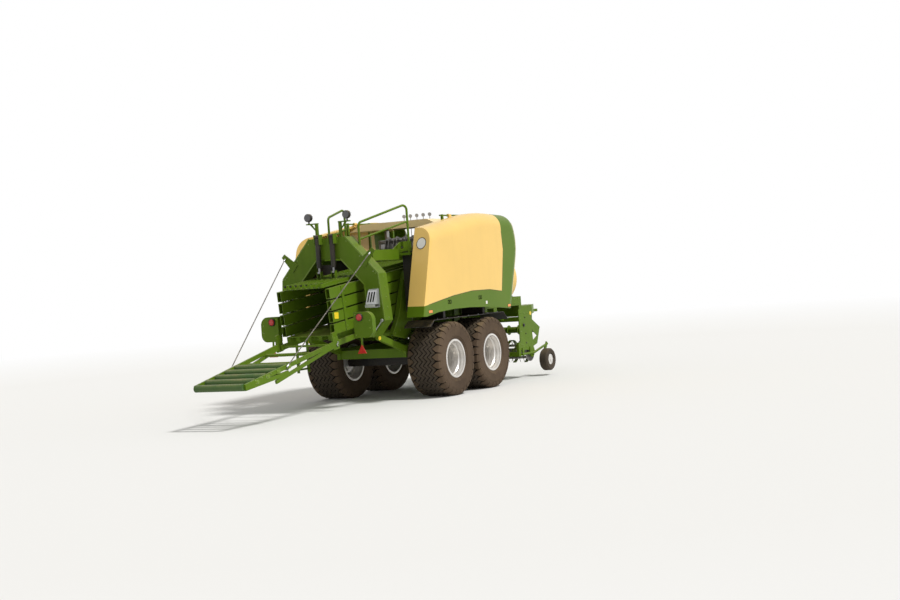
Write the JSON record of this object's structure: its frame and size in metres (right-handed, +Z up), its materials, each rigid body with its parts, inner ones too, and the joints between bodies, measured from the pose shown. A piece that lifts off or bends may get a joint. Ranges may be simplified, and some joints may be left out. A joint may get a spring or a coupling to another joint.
{
  "type": "large square baler",
  "caption": "Towed large square baler on tandem wheels, with hinged side hoods, density gate, needle yoke, pick-up and a rear bale chute.",
  "frame": {"origin": "on the ground under the middle of the machine's length and width", "axes": "+X forward towards the towing eye, +Y to the left, +Z up"},
  "size_m": [9.7628, 2.52, 3.0584],
  "materials": {
    "green": "semi-gloss",
    "dark_green": "semi-gloss",
    "beige": "semi-gloss",
    "silver": "semi-gloss",
    "dark": "satin",
    "red_paint": "semi-gloss",
    "zinc": "galvanised",
    "steel": "satin",
    "chrome": "polished",
    "red": "gloss",
    "tyre": "matt"
  },
  "bodies": {
    "chassis": {"axle_beams": "dark", "main_frame": "green", "gate_frame": "green", "bale_chamber": "green", "chamber_walls": "green", "chute_arms": "green", "knotter_deck": "green", "drawbar": "green", "main_gearbox": "dark", "feed_channel": "green", "feed_mouth": "green", "twine_boxes": "green", "mudguards": "dark", "knotters": "steel", "tension_discs": "steel", "handrails": "green", "ladder": "green", "lamp_panels": "green", "red_lamps": "red", "work_lamps": "dark", "wheel_chocks": "zinc", "flywheel_guard": "beige", "stay_cables": "dark", "cylinder_brackets": "green", "hood_hinges": "green"},
    "pickup": {"pickup_frame": "green", "stripper_bands": "green"},
    "tine_reel": {"tine_reel": "dark"},
    "crop_roller": {"crop_roller": "green"},
    "gauge_wheel_left": {"gauge_wheel_left": "tyre"},
    "gauge_wheel_right": {"gauge_wheel_right": "tyre"},
    "flywheel": {"flywheel": "red_paint"},
    "jack": {"jack_leg": "zinc"},
    "hood_left": {"hood_panel_left": "beige", "hood_trim_left": "green"},
    "hood_right": {"hood_panel_right": "beige", "hood_trim_right": "green"},
    "knotter_hood": {"knotter_hood": "beige"},
    "top_flap": {"top_flap": "green"},
    "side_flap_left": {"side_flap_left": "green"},
    "side_flap_right": {"side_flap_right": "green"},
    "density_barrels": {"density_barrels": "dark"},
    "density_rods": {"density_rods": "chrome"},
    "needle_yoke": {"needle_yoke": "green"},
    "chute": {"chute_frame": "green", "chute_rollers": "dark_green"},
    "wheel_front_left": {"tyre_front_left": "tyre", "rim_front_left": "silver"},
    "wheel_front_right": {"tyre_front_right": "tyre", "rim_front_right": "silver"},
    "wheel_rear_left": {"tyre_rear_left": "tyre", "rim_rear_left": "silver"},
    "wheel_rear_right": {"tyre_rear_right": "tyre", "rim_rear_right": "silver"}
  },
  "joints": [
    {"name": "wheel_front_left_spin", "type": "hinge", "parent": "chassis", "child": "wheel_front_left", "pos_m": [0.73091, 0.955, 0.58], "axis": [0, 1, 0], "continuous": true},
    {"name": "wheel_front_right_spin", "type": "hinge", "parent": "chassis", "child": "wheel_front_right", "pos_m": [0.73091, -0.955, 0.58], "axis": [0, 1, 0], "continuous": true},
    {"name": "wheel_rear_left_spin", "type": "hinge", "parent": "chassis", "child": "wheel_rear_left", "pos_m": [-0.49209, 0.955, 0.58], "axis": [0, 1, 0], "continuous": true},
    {"name": "wheel_rear_right_spin", "type": "hinge", "parent": "chassis", "child": "wheel_rear_right", "pos_m": [-0.49209, -0.955, 0.58], "axis": [0, 1, 0], "continuous": true},
    {"name": "pickup_lift", "type": "hinge", "parent": "chassis", "child": "pickup", "pos_m": [2.01941, 0, 1.12], "axis": [0, -1, 0], "range_deg": [0, 15]},
    {"name": "tine_reel_spin", "type": "hinge", "parent": "pickup", "child": "tine_reel", "pos_m": [2.51941, 0, 0.46], "axis": [0, 1, 0], "continuous": true},
    {"name": "crop_roller_spin", "type": "hinge", "parent": "pickup", "child": "crop_roller", "pos_m": [2.75941, 0, 0.83], "axis": [0, 1, 0], "continuous": true},
    {"name": "gauge_wheel_left_spin", "type": "hinge", "parent": "pickup", "child": "gauge_wheel_left", "pos_m": [2.86941, 1.165, 0.28], "axis": [0, 1, 0], "continuous": true},
    {"name": "gauge_wheel_right_spin", "type": "hinge", "parent": "pickup", "child": "gauge_wheel_right", "pos_m": [2.86941, -1.165, 0.28], "axis": [0, 1, 0], "continuous": true},
    {"name": "flywheel_spin", "type": "hinge", "parent": "chassis", "child": "flywheel", "pos_m": [3.10941, 0, 1.76], "axis": [1, 0, 0], "continuous": true},
    {"name": "jack_slide", "type": "slide", "parent": "chassis", "child": "jack", "axis": [0, 0, 1], "range_m": [0, 0.4]},
    {"name": "hood_left_lift", "type": "hinge", "parent": "chassis", "child": "hood_left", "pos_m": [0.11941, 0.905, 2.845], "axis": [1, 0, 0], "range_deg": [0, 60]},
    {"name": "hood_right_lift", "type": "hinge", "parent": "chassis", "child": "hood_right", "pos_m": [0.11941, -0.905, 2.845], "axis": [-1, 0, 0], "range_deg": [0, 60]},
    {"name": "knotter_hood_lift", "type": "hinge", "parent": "chassis", "child": "knotter_hood", "pos_m": [0.57441, 0, 2.715], "axis": [0, 1, 0], "range_deg": [0, 50]},
    {"name": "top_flap_tilt", "type": "hinge", "parent": "chassis", "child": "top_flap", "pos_m": [-1.3041, 0, 2.01652], "axis": [0, 1, 0], "range_deg": [-4, 1]},
    {"name": "side_flap_left_swing", "type": "hinge", "parent": "chassis", "child": "side_flap_left", "pos_m": [-1.20004, 0.44, 1.65095], "axis": [-0.1132, 0, 0.9936], "range_deg": [0, 1.5]},
    {"name": "side_flap_right_swing", "type": "hinge", "parent": "chassis", "child": "side_flap_right", "pos_m": [-1.20004, -0.44, 1.65095], "axis": [0.1132, 0, -0.9936], "range_deg": [0, 1.5]},
    {"name": "density_barrels_swing", "type": "hinge", "parent": "chassis", "child": "density_barrels", "pos_m": [-2.09059, 0, 2.6], "axis": [0, 1, 0], "range_deg": [-2, 2]},
    {"name": "density_rods_slide", "type": "slide", "parent": "density_barrels", "child": "density_rods", "axis": [0, 0, 1], "range_m": [-0.07, 0.03]},
    {"name": "needle_yoke_swing", "type": "hinge", "parent": "chassis", "child": "needle_yoke", "pos_m": [-0.58059, 0, 1.89], "axis": [0, -1, 0], "range_deg": [0, 65]},
    {"name": "chute_fold", "type": "hinge", "parent": "chassis", "child": "chute", "pos_m": [-2.72059, 0, 0.99], "axis": [0, 1, 0], "range_deg": [0, 85], "deforming": ["stay_cables"]}
  ],
  "couplings": [
    {"joint": "density_barrels_swing", "follows": "top_flap_tilt", "ratio": -0.02},
    {"joint": "density_rods_slide", "follows": "top_flap_tilt", "m_per_rad": 0.78649}
  ]
}
